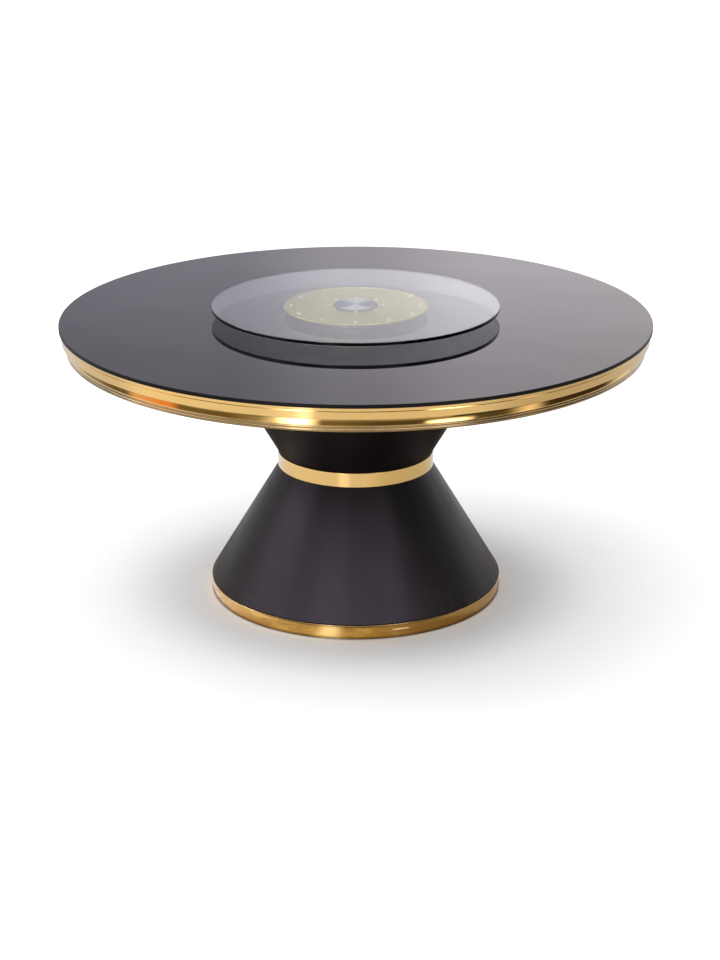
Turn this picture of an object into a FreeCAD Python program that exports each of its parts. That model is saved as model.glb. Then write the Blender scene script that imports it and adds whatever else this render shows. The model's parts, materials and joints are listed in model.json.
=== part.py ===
import FreeCAD, Part
import math
import os

import Sketcher
from FreeCAD import Placement, Rotation, Vector

# Round banquet table, 1.6 m across and 780 mm high, with a loose turntable.
# Frame: +Z up, origin on the floor at the table's vertical axis, millimetres.
# Pedestal: two painted sheet cones, mouth to mouth at a gilt waist band, round a steel column.
# Top: a hollow wooden drum edged with a gilt rim, under a black glass disc.
# Turntable: clear glass on a gilt carrier plate that spins on a ring of balls.

doc = FreeCAD.newDocument("banquet_table")
sheet = doc.addObject("Spreadsheet::Sheet", "Dims")


# ---------------------------------------------------------------- sizes
class Size:
    """A length together with the sheet expression that gives it."""

    def __init__(self, value, text):
        self.value = float(value)
        self.text = text

    @staticmethod
    def of(x):
        if isinstance(x, Size):
            return x
        return Size(x, repr(round(float(x), 9)))

    def __add__(self, o):
        o = Size.of(o)
        return Size(self.value + o.value, "(%s + %s)" % (self.text, o.text))

    def __radd__(self, o):
        return Size.of(o) + self

    def __sub__(self, o):
        o = Size.of(o)
        return Size(self.value - o.value, "(%s - %s)" % (self.text, o.text))

    def __rsub__(self, o):
        return Size.of(o) - self

    def __mul__(self, o):
        o = Size.of(o)
        return Size(self.value * o.value, "(%s * %s)" % (self.text, o.text))

    def __rmul__(self, o):
        return Size.of(o) * self

    def __truediv__(self, o):
        o = Size.of(o)
        return Size(self.value / o.value, "(%s / %s)" % (self.text, o.text))

    def __neg__(self):
        return Size(-self.value, "(0 - %s)" % self.text)


class Dims:
    pass


D = Dims()
CELLS = [
    # whole table
    ("top_radius", 800, "black glass top"),
    ("table_height", 780, "floor to the top of the black glass"),
    ("glass_thick", 10, "black glass"),
    ("glass_arris", 1.4, "polished arris of both glasses"),
    # floor and base
    ("pad_radius", 22, "rubber floor pads"),
    ("pad_thick", 3, ""),
    ("pad_ring", 350, "radius of the ring of floor pads"),
    ("pad_count", 8, ""),
    ("base_plate_radius", 400.5, "steel floor plate"),
    ("base_plate_thick", 8, ""),
    ("base_core_inner", 310, "plywood ring on the floor plate"),
    ("base_core_outer", 400.7, ""),
    ("band_lift", 2, "gap between the gilt base band and the floor"),
    ("band_top", 39.5, "top of the gilt base band"),
    ("band_end_radius", 403, "base band at its top and bottom"),
    ("band_crown_arc", 90, "arc that crowns the base band by 2 mm"),
    ("gilt_sheet", 2, "gilt stainless sheet"),
    ("band_lip_inner", 384, "inner edge of the base band's lip"),
    # cones
    ("cone_sheet", 2, "painted steel sheet of the cones, measured level"),
    ("cone_foot_radius", 405.5, "lower cone's wall line at its foot"),
    ("waist_radius", 212, "both cones at the waist"),
    ("waist_low", 362, "height of the bottom of the waist band"),
    ("waist_high", 402, "height of the top of the waist band"),
    ("waist_band_radius", 215, ""),
    ("cone_head_radius", 392, "upper cone at the underside of the top"),
    ("cone_flange_inner", 372, "lower cone's foot flange"),
    ("cone_neck_inner", 185, "flanges of both cones at the waist"),
    ("head_flange_outer", 412, "upper cone's head flange"),
    # column
    ("column_radius", 57.15, "steel tube"),
    ("column_wall", 4, ""),
    ("flange_radius", 150, "column flanges"),
    ("flange_thick", 8, ""),
    ("gusset_reach", 140, ""),
    ("gusset_tall", 100, ""),
    ("gusset_thick", 6, ""),
    ("stud_ring", 120, "ring of the column's studs and bolts"),
    ("stud_radius", 8, "floor plate studs"),
    ("stud_count", 6, ""),
    ("bolt_radius", 6, "bolts of the head flange"),
    ("bolt_count", 8, ""),
    # the top
    ("rim_low", 705, "bottom of the gilt rim"),
    ("rim_radius", 794, "gilt rim"),
    ("rim_gap", 0.3, "gilt rim to the glass above"),
    ("rim_flange_inner", 776, "rim's upper flange"),
    ("rim_foot_inner", 758, "rim's lower flange"),
    ("low_board_radius", 776, "underside board"),
    ("low_board_thick", 12, ""),
    ("up_board_radius", 744.5, "bearer board under the glass"),
    ("up_board_thick", 18, ""),
    ("core_inner", 745, "edge ring of the drum"),
    ("rib_wide", 18, ""),
    ("rib_count", 8, ""),
    ("hub_block_radius", 100, ""),
    ("mount_plate_radius", 340, "steel plate under the underside board"),
    ("mount_plate_thick", 8, ""),
    ("cushion_thick", 1, "clear cushions under the black glass"),
    ("cushion_radius", 10, ""),
    # turntable
    ("disc_radius", 390, "clear glass disc"),
    ("disc_thick", 10, ""),
    ("disc_gap", 25, "black glass to the underside of the clear glass"),
    ("race_foot_thick", 2.5, ""),
    ("race_foot_radius", 7, ""),
    ("race_foot_ring", 151, ""),
    ("race_outer", 160, "fixed race"),
    ("race_tall", 11.5, ""),
    ("ball_ring", 140, "ball centres"),
    ("ball_radius", 3.5, ""),
    ("ball_high", 8.25, "ball centres above the black glass"),
    ("ball_count", 36, ""),
    ("groove_radius", 3.62, "both races"),
    ("race_space", 1.2, "ball ring to the wall of either race"),
    ("cage_half", 0.6, "half the wall of the ball cage"),
    ("cage_tall", 8, ""),
    ("pocket_radius", 3.65, "ball pockets of the cage"),
    ("rotor_inner", 118, "turning race"),
    ("rotor_lift", 3.5, "turning race above the black glass"),
    ("carrier_high", 18, "carrier plate above the black glass"),
    ("carrier_sheet", 2.5, ""),
    ("carrier_lip_ring", 192.3, "centre line of the rolled lip"),
    ("carrier_lip_radius", 2.7, ""),
    ("hub_disc_radius", 59, "rayed centre disc"),
    ("hub_disc_thick", 1.6, ""),
    ("spigot_radius", 10, ""),
    ("button_radius", 5, "clear buttons near the centre disc"),
    ("button_ring", 76, ""),
    ("button_count", 8, ""),
    ("bumper_radius", 6, "clear bumpers near the carrier's lip"),
    ("bumper_ring", 174, ""),
    ("bumper_count", 12, ""),
]
for i, (alias, value, note) in enumerate(CELLS, start=1):
    sheet.set("A%d" % i, alias)
    sheet.set("B%d" % i, repr(value))
    if note:
        sheet.set("C%d" % i, note)
    sheet.setAlias("B%d" % i, alias)
    setattr(D, alias, Size(value, "Dims." + alias))
doc.recompute()

# heights that follow from the cells
base_top = D.pad_thick + D.base_plate_thick
rim_top = D.table_height - D.glass_thick - D.rim_gap
low_board_low = D.rim_low + D.gilt_sheet
low_board_high = low_board_low + D.low_board_thick
up_board_high = D.table_height - D.glass_thick - D.cushion_thick
up_board_low = up_board_high - D.up_board_thick
mount_low = low_board_low - D.mount_plate_thick
head_flange_low = mount_low - D.flange_thick
disc_low = D.table_height + D.disc_gap


# ---------------------------------------------------------------- building blocks
def origin_part(body, role):
    return [f for f in body.Origin.OriginFeatures if f.Role == role][0]


def place(thing, high=None, turn=0.0):
    """Stands a piece at its own height and turns it about the table's axis."""
    z = Size.of(0 if high is None else high)
    thing.Placement = Placement(Vector(0, 0, z.value), Rotation(Vector(0, 0, 1), turn))
    if high is not None:
        thing.setExpression("Placement.Base.z", z.text)


def new_body(label, high=None, turn=0.0):
    body = doc.addObject("PartDesign::Body", label)
    body.Label = label
    place(body, high, turn)
    return body


def new_sketch(body, role, lift=None):
    """A sketch on one of the body's own planes, lifted along that plane's normal."""
    sk = body.newObject("Sketcher::SketchObject", body.Label + "_sketch")
    sk.AttachmentSupport = [(origin_part(body, role), "")]
    sk.MapMode = "FlatFace"
    if lift is not None:
        lift = Size.of(lift)
        sk.AttachmentOffset = Placement(Vector(0, 0, lift.value), Rotation())
        sk.setExpression("AttachmentOffset.Base.z", lift.text)
    return sk


def pin_point(sk, geo, pos, across, up):
    """Ties a point of the sketch to its two distances from the sketch's origin."""
    for kind, size, axis in (("DistanceX", across, -2), ("DistanceY", up, -1)):
        size = Size.of(size)
        if abs(size.value) < 1e-9:
            sk.addConstraint(Sketcher.Constraint("PointOnObject", geo, pos, axis))
        elif size.value > 0:
            c = sk.addConstraint(Sketcher.Constraint(kind, -1, 1, geo, pos, size.value))
            sk.setExpression("Constraints[%d]" % c, size.text)
        else:
            c = sk.addConstraint(Sketcher.Constraint(kind, geo, pos, -1, 1, -size.value))
            sk.setExpression("Constraints[%d]" % c, (-size).text)


def outline(sk, corners, arcs=None):
    """A closed outline. corners are (across, up). arcs[i] = (radius, side) bends the side that leaves
    corner i: side 1 has its centre on the left of the way there, -1 on the right, 2 the same as 1
    but round the long way."""
    arcs = arcs or {}
    pts = [Vector(Size.of(a).value, Size.of(b).value, 0) for a, b in corners]
    n = len(pts)
    first = sk.GeometryCount
    ends = []
    for i in range(n):
        p, q = pts[i], pts[(i + 1) % n]
        if i in arcs:
            r = Size.of(arcs[i][0]).value
            side = arcs[i][1]
            along = (q - p) * (1.0 / (q - p).Length)
            left = Vector(-along.y, along.x, 0)
            half = (q - p).Length / 2
            rise = math.sqrt(r * r - half * half)
            mid = (p + q) * 0.5
            if side == 2:
                centre = mid - left * rise
                top = centre - left * r
            else:
                centre = mid + left * (rise * side)
                top = centre - left * (r * side)
            geo = sk.addGeometry(Part.Arc(p, top, q), False)
        else:
            geo = sk.addGeometry(Part.LineSegment(p, q), False)
        start = 1 if (sk.getPoint(geo, 1) - p).Length < 1e-6 else 2
        ends.append((geo, start, 3 - start))
    for i in range(n):
        a, b = ends[i], ends[(i + 1) % n]
        sk.addConstraint(Sketcher.Constraint("Coincident", a[0], a[2], b[0], b[1]))
    for i in range(n):
        pin_point(sk, ends[i][0], ends[i][1], *corners[i])
        if i in arcs:
            r = Size.of(arcs[i][0])
            c = sk.addConstraint(Sketcher.Constraint("Radius", ends[i][0], r.value))
            sk.setExpression("Constraints[%d]" % c, r.text)
    return first


def circle(sk, radius, across=0, up=0):
    radius = Size.of(radius)
    centre = Vector(Size.of(across).value, Size.of(up).value, 0)
    geo = sk.addGeometry(Part.Circle(centre, Vector(0, 0, 1), radius.value), False)
    pin_point(sk, geo, 3, across, up)
    c = sk.addConstraint(Sketcher.Constraint("Radius", geo, radius.value))
    sk.setExpression("Constraints[%d]" % c, radius.text)
    return geo


def pad(body, sk, length, symmetric=False):
    f = body.newObject("PartDesign::Pad", body.Label + "_pad")
    f.Profile = sk
    if symmetric:
        f.SideType = "Symmetric"
    length = Size.of(length)
    f.Length = length.value
    f.setExpression("Length", length.text)
    return f


def turned(body, corners, arcs=None):
    """Turns an outline of (radius, height) corners about the body's Z axis."""
    sk = new_sketch(body, "XZ_Plane")
    outline(sk, corners, arcs)
    f = body.newObject("PartDesign::Revolution", body.Label + "_turned")
    f.Profile = sk
    f.ReferenceAxis = (sk, ["V_Axis"])
    f.Angle = 360
    return f


def ring_of(body, features, count):
    """Repeats features round the body's Z axis and makes the result the body's tip."""
    f = body.newObject("PartDesign::PolarPattern", body.Label + "_ring")
    f.Originals = features
    f.Axis = (origin_part(body, "Z_Axis"), [""])
    f.Angle = 360
    count = Size.of(count)
    f.Occurrences = int(count.value)
    f.setExpression("Occurrences", count.text)
    body.Tip = f
    return f


def drill(body, ring, radius, count, top, depth, angle=0.0):
    """Round holes on a ring, cut down from height top, and a check that they really cut."""
    doc.recompute()
    before = body.Shape.Volume
    ring, radius, depth = Size.of(ring), Size.of(radius), Size.of(depth)
    sk = new_sketch(body, "XY_Plane", top)
    ca, sa = math.cos(math.radians(angle)), math.sin(math.radians(angle))
    circle(sk, radius, ring * ca, ring * sa if abs(sa) > 1e-9 else 0)
    f = body.newObject("PartDesign::Pocket", body.Label + "_hole")
    f.Profile = sk
    f.Length = depth.value
    f.setExpression("Length", depth.text)
    ring_of(body, [f], count)
    doc.recompute()
    cut = before - body.Shape.Volume
    want = Size.of(count).value * math.pi * radius.value ** 2 * depth.value
    if abs(cut - want) > 0.02 * want:
        raise RuntimeError("%s: holes cut %.1f mm3 and not %.1f" % (body.Label, cut, want))


def hexagon(sk, across_flats, ring):
    """A hexagon at (ring, 0) with a flat towards the axis."""
    flat = Size.of(across_flats)
    corner = flat * (1 / math.sqrt(3))
    pts = []
    for k in range(6):
        a = math.radians(30 + 60 * k)
        x, y = math.cos(a), math.sin(a)
        pts.append((ring + corner * x, corner * y))
    outline(sk, pts)


def wood_screws(label, high, turn, count, ring, head_radius, head_tall, shank_radius, shank_long, up):
    """A ring of pan-head wood screws. The seat of the head is at height high, and the shank
    runs up from it, or down if up is -1."""
    body = new_body(label, turn=turn)
    z = Size.of(high)
    ring = Size.of(ring)
    hr, ht, sr, sl = (Size.of(x) for x in (head_radius, head_tall, shank_radius, shank_long))
    sk = new_sketch(body, "XZ_Plane")
    pts = [
        (ring, z - ht * up),
        (ring + hr * 0.7, z - ht * up),
        (ring + hr, z - ht * (0.45 * up)),
        (ring + hr, z),
        (ring + sr, z),
        (ring + sr, z + (sl - sr * 1.6) * up),
        (ring, z + sl * up),
    ]
    first = outline(sk, pts)
    axis = first + len(pts) - 1
    f = body.newObject("PartDesign::Revolution", label + "_turned")
    f.Profile = sk
    f.ReferenceAxis = (sk, ["Edge%d" % (axis + 1)])
    f.Angle = 360
    ring_of(body, [f], count)
    return body


bodies = {}


def keep(thing):
    bodies[thing.Label] = thing
    return thing


# ---------------------------------------------------------------- base
b = keep(new_body("foot_pads", 0))
sk = new_sketch(b, "XY_Plane")
circle(sk, D.pad_radius, D.pad_ring, 0)
ring_of(b, [pad(b, sk, D.pad_thick)], D.pad_count)

b = keep(doc.addObject("Part::Cylinder", "base_plate"))
b.Label = "base_plate"
b.setExpression("Radius", D.base_plate_radius.text)
b.setExpression("Height", D.base_plate_thick.text)
place(b, D.pad_thick)

# plywood ring that fills the gilt base band and takes the lower cone's screws
core_tall = D.band_top - D.gilt_sheet - base_top
b = keep(new_body("base_core", base_top))
turned(b, [(D.base_core_inner, 0), (D.base_core_outer, 0), (D.base_core_outer, core_tall), (D.base_core_inner, core_tall)])
drill(b, 378, 2.6, 12, core_tall, 22)

# crowned gilt band with a lip folded in under the cone
b = keep(new_body("base_ring", D.band_lift))
band_tall = D.band_top - D.band_lift
turned(
    b,
    [
        (D.band_end_radius - D.gilt_sheet, 0),
        (D.band_end_radius - 0.6, 0),
        (D.band_end_radius, 0.8),
        (D.band_end_radius, band_tall - 1.6),
        (D.band_end_radius - 1.6, band_tall),
        (D.band_lip_inner, band_tall),
        (D.band_lip_inner, band_tall - D.gilt_sheet),
        (D.band_end_radius - D.gilt_sheet, band_tall - D.gilt_sheet),
    ],
    {1: (1.0, 1), 2: (D.band_crown_arc, 1), 3: (1.8, 1), 7: (D.band_crown_arc, -1)},
)

# lower cone: foot flange, straight wall, neck flange, all one sheet
cone_tall = D.waist_low - D.band_top
foot_slope = (D.cone_foot_radius - D.waist_radius) / cone_tall
b = keep(new_body("lower_cone", D.band_top))
turned(
    b,
    [
        (D.cone_flange_inner, 0),
        (D.cone_foot_radius - 3.8, 0),
        (D.cone_foot_radius - foot_slope * 3.2, 3.2),
        (D.waist_radius, cone_tall),
        (D.cone_neck_inner, cone_tall),
        (D.cone_neck_inner, cone_tall - D.cone_sheet),
        (D.waist_radius - D.cone_sheet * 1.16 + foot_slope * D.cone_sheet, cone_tall - D.cone_sheet),
        (D.cone_foot_radius - foot_slope * D.cone_sheet - D.cone_sheet * 1.16, D.cone_sheet),
        (D.cone_flange_inner, D.cone_sheet),
    ],
    {1: (3.0, 1)},
)
drill(b, 378, 2.7, 12, D.cone_sheet, D.cone_sheet)
drill(b, 196, 2.7, 6, cone_tall, D.cone_sheet)

keep(wood_screws("cone_foot_screws", D.band_top + D.cone_sheet, 0, 12, 378, 5, 3, 2.5, 22, -1))

# ---------------------------------------------------------------- column
# floor plate studs, welded on, with washers and nuts over the column's foot flange
b = keep(new_body("base_studs", base_top, 30))
sk = new_sketch(b, "XY_Plane")
circle(sk, D.stud_radius, D.stud_ring, 0)
ring_of(b, [pad(b, sk, 28)], D.stud_count)

b = keep(new_body("column_foot", base_top, 30))
sk = new_sketch(b, "XY_Plane")
circle(sk, D.flange_radius)
pad(b, sk, D.flange_thick)
drill(b, D.stud_ring, D.stud_radius + 0.4, D.stud_count, D.flange_thick, D.flange_thick)

b = keep(new_body("base_washers", base_top + D.flange_thick, 30))
sk = new_sketch(b, "XY_Plane")
circle(sk, 15, D.stud_ring, 0)
circle(sk, D.stud_radius + 0.5, D.stud_ring, 0)
ring_of(b, [pad(b, sk, 3)], D.stud_count)

b = keep(new_body("base_nuts", base_top + D.flange_thick + 3, 30))
sk = new_sketch(b, "XY_Plane")
hexagon(sk, 24, D.stud_ring)
circle(sk, D.stud_radius + 0.1, D.stud_ring, 0)
ring_of(b, [pad(b, sk, 13)], D.stud_count)

# steel tube between the two flanges
tube_low = base_top + D.flange_thick
tube_tall = head_flange_low - tube_low
outer = doc.addObject("Part::Cylinder", "column_outside")
outer.setExpression("Radius", D.column_radius.text)
outer.setExpression("Height", tube_tall.text)
inner = doc.addObject("Part::Cylinder", "column_bore")
inner.setExpression("Radius", (D.column_radius - D.column_wall).text)
inner.setExpression("Height", tube_tall.text)
b = keep(doc.addObject("Part::Cut", "column_tube"))
b.Label = "column_tube"
b.Base = outer
b.Tool = inner
place(b, tube_low)


def gussets(label, high, count, up):
    """Triangular plates between the column and a flange; up is 1 on the foot, -1 at the head."""
    body = keep(new_body(label, high))
    sk = new_sketch(body, "XZ_Plane")
    outline(
        sk,
        [
            (D.column_radius + 0.4, 0),
            (D.gusset_reach, 0),
            (D.gusset_reach, 12 * up),
            (D.column_radius + 14, D.gusset_tall * up),
            (D.column_radius + 0.4, D.gusset_tall * up),
        ],
    )
    ring_of(body, [pad(body, sk, D.gusset_thick, True)], count)


gussets("foot_gussets", tube_low, 6, 1)
gussets("head_gussets", head_flange_low, 4, -1)

b = keep(new_body("column_head", head_flange_low))
sk = new_sketch(b, "XY_Plane")
circle(sk, D.flange_radius)
pad(b, sk, D.flange_thick)
drill(b, D.stud_ring, D.bolt_radius + 0.4, D.bolt_count, D.flange_thick, D.flange_thick, 22.5)

b = keep(new_body("mounting_plate", mount_low))
sk = new_sketch(b, "XY_Plane")
circle(sk, D.mount_plate_radius)
pad(b, sk, D.mount_plate_thick)
drill(b, D.stud_ring, D.bolt_radius + 0.4, D.bolt_count, D.mount_plate_thick, D.mount_plate_thick, 22.5)
drill(b, 315, 2.7, 12, D.mount_plate_thick, D.mount_plate_thick, 15)

# eight bolts from below through the head flange, the plate and the underside board
head_tall = 8
bolt_low = head_flange_low - 2.5 - head_tall
b = keep(new_body("head_bolts", bolt_low, 22.5))
sk = new_sketch(b, "XY_Plane")
hexagon(sk, 19, D.stud_ring)
head = pad(b, sk, head_tall)
sk = new_sketch(b, "XY_Plane", head_tall)
circle(sk, D.bolt_radius, D.stud_ring, 0)
shank = pad(b, sk, low_board_high + 16 - bolt_low - head_tall)
ring_of(b, [head, shank], D.bolt_count)

for label, high in (("head_washers", head_flange_low - 2.5), ("drum_washers", low_board_high)):
    b = keep(new_body(label, high, 22.5))
    sk = new_sketch(b, "XY_Plane")
    circle(sk, 12, D.stud_ring, 0)
    circle(sk, D.bolt_radius + 0.5, D.stud_ring, 0)
    ring_of(b, [pad(b, sk, 2.5)], D.bolt_count)

b = keep(new_body("drum_nuts", low_board_high + 2.5, 22.5))
sk = new_sketch(b, "XY_Plane")
hexagon(sk, 19, D.stud_ring)
circle(sk, D.bolt_radius + 0.1, D.stud_ring, 0)
ring_of(b, [pad(b, sk, 10)], D.bolt_count)

# ---------------------------------------------------------------- waist
waist_tall = D.waist_high - D.waist_low
b = keep(new_body("waist_core", D.waist_low))
turned(
    b,
    [
        (D.column_radius + 0.45, 0),
        (D.waist_radius, 0),
        (D.waist_radius, waist_tall),
        (D.column_radius + 0.45, waist_tall),
    ],
)
drill(b, 196, 2.6, 6, 18, 18)
drill(b, 196, 2.6, 6, waist_tall, 18, 30)

b = keep(new_body("waist_band", D.waist_low))
turned(
    b,
    [
        (D.waist_radius + 0.1, 0),
        (D.waist_band_radius - 0.9, 0),
        (D.waist_band_radius, 0.9),
        (D.waist_band_radius, waist_tall - 0.9),
        (D.waist_band_radius - 0.9, waist_tall),
        (D.waist_radius + 0.1, waist_tall),
    ],
    {1: (1.0, 1), 3: (1.0, 1)},
)

keep(wood_screws("waist_low_screws", D.waist_low - D.cone_sheet, 0, 6, 196, 5, 3, 2.5, 18, 1))
keep(wood_screws("waist_high_screws", D.waist_high + D.cone_sheet, 30, 6, 196, 5, 3, 2.5, 18, -1))

# upper cone: neck flange, straight wall, head flange folded out under the top
up_tall = low_board_low - D.waist_high
head_slope = (D.cone_head_radius - D.waist_radius) / up_tall
b = keep(new_body("upper_cone", D.waist_high))
turned(
    b,
    [
        (D.cone_neck_inner, 0),
        (D.waist_radius, 0),
        (D.cone_head_radius - head_slope * D.cone_sheet, up_tall - D.cone_sheet),
        (D.head_flange_outer, up_tall - D.cone_sheet),
        (D.head_flange_outer, up_tall),
        (D.cone_head_radius - D.cone_sheet * 1.16, up_tall),
        (D.waist_radius + head_slope * D.cone_sheet - D.cone_sheet * 1.16, D.cone_sheet),
        (D.cone_neck_inner, D.cone_sheet),
    ],
)
drill(b, 196, 2.7, 6, D.cone_sheet, D.cone_sheet, 30)
drill(b, 403, 2.2, 12, up_tall, D.cone_sheet, 15)

keep(wood_screws("cone_head_screws", low_board_low - D.cone_sheet, 15, 12, 403, 4, 2.4, 2, 12, 1))

# ---------------------------------------------------------------- the drum of the top
b = keep(new_body("underside_board", low_board_low))
sk = new_sketch(b, "XY_Plane")
circle(sk, D.low_board_radius)
pad(b, sk, D.low_board_thick)
drill(b, D.stud_ring, D.bolt_radius + 0.4, D.bolt_count, D.low_board_thick, D.low_board_thick, 22.5)
drill(b, 315, 2.6, 12, 9, 9, 15)
drill(b, 403, 2.1, 12, 11, 11, 15)
drill(b, 767, 1.85, 24, 11, 11, 7.5)

keep(wood_screws("plate_screws", mount_low, 15, 12, 315, 5, 3, 2.5, 16.5, 1))
keep(wood_screws("rim_screws", D.rim_low, 7.5, 24, 767, 3.4, 1.9, 1.75, 12, 1))

b = keep(doc.addObject("Part::Cylinder", "hub_block"))
b.Label = "hub_block"
b.setExpression("Radius", D.hub_block_radius.text)
b.setExpression("Height", (up_board_low - low_board_high).text)
place(b, low_board_high)

# eight plywood ribs between the hub block and the edge ring
b = keep(new_body("drum_ribs", low_board_high))
sk = new_sketch(b, "XY_Plane")
outline(
    sk,
    [
        (D.hub_block_radius + 0.5, D.rib_wide * -0.5),
        (D.core_inner - 0.8, D.rib_wide * -0.5),
        (D.core_inner - 0.8, D.rib_wide * 0.5),
        (D.hub_block_radius + 0.5, D.rib_wide * 0.5),
    ],
)
ring_of(b, [pad(b, sk, up_board_low - low_board_high)], D.rib_count)

# edge ring of the drum, rebated to the back of the gilt rim
ring_tall = rim_top - D.gilt_sheet - low_board_high
b = keep(new_body("edge_ring", low_board_high))
turned(
    b,
    [
        (D.core_inner, 0),
        (D.rim_radius - 17.2, 0),
        (D.rim_radius - 16.0, 8),
        (D.rim_radius - 16.0, 24.0),
        (D.rim_radius - 2.8, 24.0),
        (D.rim_radius - 2.8, ring_tall),
        (D.core_inner, ring_tall),
    ],
)

b = keep(doc.addObject("Part::Cylinder", "bearer_board"))
b.Label = "bearer_board"
b.setExpression("Radius", D.up_board_radius.text)
b.setExpression("Height", D.up_board_thick.text)
place(b, up_board_low)

# gilt rim, one formed strip: folded flange, flat band with a fine groove, a set-back skirt that
# flares a little towards its foot, two fine beads and a folded foot flange
rim_tall = rim_top - D.rim_low
b = keep(new_body("rim_trim", D.rim_low))
R = D.rim_radius
turned(
    b,
    [
        (D.rim_foot_inner, 0),
        (R - 15.2, 0),
        (R - 14.0, 1.4),
        (R - 12.6, 8.2),
        (R - 12.6, 9.0),
        (R - 11.2, 15.6),
        (R - 9.6, 16.6),
        (R - 9.4, 17.4),
        (R - 12.6, 33.6),
        (R - 11.4, 35.2),
        (R - 1.2, 35.5),
        (R, 36.8),
        (R, 57.4),
        (R - 0.9, 58.7),
        (R, 60.0),
        (R, rim_tall - 1.5),
        (R - 1.5, rim_tall),
        (D.rim_flange_inner, rim_tall),
        (D.rim_flange_inner, rim_tall - 2),
        (R - 2.2, rim_tall - 2),
        (R - 2.2, 37.6),
        (R - 12.6, 37.3),
        (R - 14.8, 34.2),
        (R - 11.7, 18.0),
        (R - 13.6, 16.6),
        (R - 16.0, 2),
        (D.rim_foot_inner, 2),
    ],
    {1: (1.3, 1), 2: (4.4, 1), 4: (4.4, 1), 7: (60, 1), 10: (1.3, 1), 15: (1.6, 1)},
)
drill(b, 767, 1.9, 24, 2, 2, 7.5)

# clear cushions between the bearer board and the black glass
b = keep(new_body("glass_cushions", up_board_high))
sk = new_sketch(b, "XY_Plane")
circle(sk, D.cushion_radius, 700, 0)
first = pad(b, sk, D.cushion_thick)
ring_of(b, [first], 16)
inner_set = new_body("glass_cushions_inner", up_board_high)
sk = new_sketch(inner_set, "XY_Plane")
circle(sk, D.cushion_radius, 350, 0)
ring_of(inner_set, [pad(inner_set, sk, D.cushion_thick)], 8)
keep(inner_set)


def glass_disc(label, high, radius, thick):
    """A glass disc turned in one piece, with a small polished arris on both edges."""
    body = keep(new_body(label, high))
    a = D.glass_arris
    turned(
        body,
        [(0, 0), (radius - a, 0), (radius, a), (radius, thick - a), (radius - a, thick), (0, thick)],
        {1: (a * 1.06, 1), 3: (a * 1.06, 1)},
    )


glass_disc("top_glass", D.table_height - D.glass_thick, D.top_radius, D.glass_thick)

# ---------------------------------------------------------------- turntable
# heights below are above the black glass
b = keep(new_body("race_feet", D.table_height))
sk = new_sketch(b, "XY_Plane")
circle(sk, D.race_foot_radius, D.race_foot_ring, 0)
ring_of(b, [pad(b, sk, D.race_foot_thick)], 8)

groove_half = math.sqrt(D.groove_radius.value ** 2 - D.race_space.value ** 2)
b = keep(new_body("fixed_race", D.table_height + D.race_foot_thick))
mid = D.ball_high - D.race_foot_thick
wall = D.ball_ring + D.race_space
turned(
    b,
    [
        (wall, 0),
        (D.race_outer - 1, 0),
        (D.race_outer, 1),
        (D.race_outer, D.race_tall - 1.5),
        (D.race_outer - 1.5, D.race_tall),
        (wall, D.race_tall),
        (wall, mid + groove_half),
        (wall, mid - groove_half),
    ],
    {6: (D.groove_radius, -1)},
)

b = keep(new_body("turning_race", D.table_height + D.rotor_lift))
rotor_tall = D.carrier_high - D.rotor_lift
mid = D.ball_high - D.rotor_lift
wall = D.ball_ring - D.race_space
turned(
    b,
    [
        (D.rotor_inner, 0),
        (wall, 0),
        (wall, mid - groove_half),
        (wall, mid + groove_half),
        (wall, rotor_tall),
        (D.rotor_inner, rotor_tall),
    ],
    {2: (D.groove_radius, -1)},
)
drill(b, 126, 4.2, 6, 4.5, 4.5)
drill(b, 126, 2.2, 6, rotor_tall, rotor_tall - 4.5)

b = keep(new_body("ball_cage", D.table_height + D.ball_high - D.cage_tall * 0.5))
turned(
    b,
    [
        (D.ball_ring - D.cage_half, 0),
        (D.ball_ring + D.cage_half, 0),
        (D.ball_ring + D.cage_half, D.cage_tall),
        (D.ball_ring - D.cage_half, D.cage_tall),
    ],
)
doc.recompute()
whole = b.Shape.Volume
sk = new_sketch(b, "YZ_Plane", D.ball_ring + 5)
circle(sk, D.pocket_radius, 0, D.cage_tall * 0.5)
f = b.newObject("PartDesign::Pocket", "ball_pocket")
f.Profile = sk
f.Length = 10
ring_of(b, [f], D.ball_count)
doc.recompute()
if whole - b.Shape.Volume < 0.97 * D.ball_count.value * math.pi * D.pocket_radius.value ** 2 * 2 * D.cage_half.value:
    raise RuntimeError("the ball pockets cut too little")

b = keep(new_body("balls", D.table_height + D.ball_high))
f = b.newObject("PartDesign::AdditiveSphere", "ball")
f.setExpression("Radius", D.ball_radius.text)
f.Placement = Placement(Vector(D.ball_ring.value, 0, 0), Rotation())
f.setExpression("Placement.Base.x", D.ball_ring.text)
ring_of(b, [f], D.ball_count)

# gilt carrier plate with a rolled lip
b = keep(new_body("carrier_plate", D.table_height + D.carrier_high))
lip_root = math.sqrt(D.carrier_lip_radius.value ** 2 - (D.carrier_sheet.value / 2) ** 2)
lip_at = D.carrier_lip_ring - lip_root
turned(
    b,
    [
        (D.spigot_radius + 0.2, 0),
        (lip_at, 0),
        (lip_at, D.carrier_sheet),
        (D.spigot_radius + 0.2, D.carrier_sheet),
    ],
    {1: (D.carrier_lip_radius, 2)},
)
drill(b, 126, 2.05, 6, 2.2, 2.2)

# six screws from below, heads sunk in the turning race
b = keep(new_body("carrier_screws", D.table_height + D.rotor_lift + 0.6))
sk = new_sketch(b, "XY_Plane")
circle(sk, 3.8, 126, 0)
head = pad(b, sk, 3.9)
sk = new_sketch(b, "XY_Plane", 3.9)
circle(sk, 2, 126, 0)
shank = pad(b, sk, D.carrier_high - D.rotor_lift - 0.6 - 3.9 + 2)
ring_of(b, [head, shank], 6)

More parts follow.
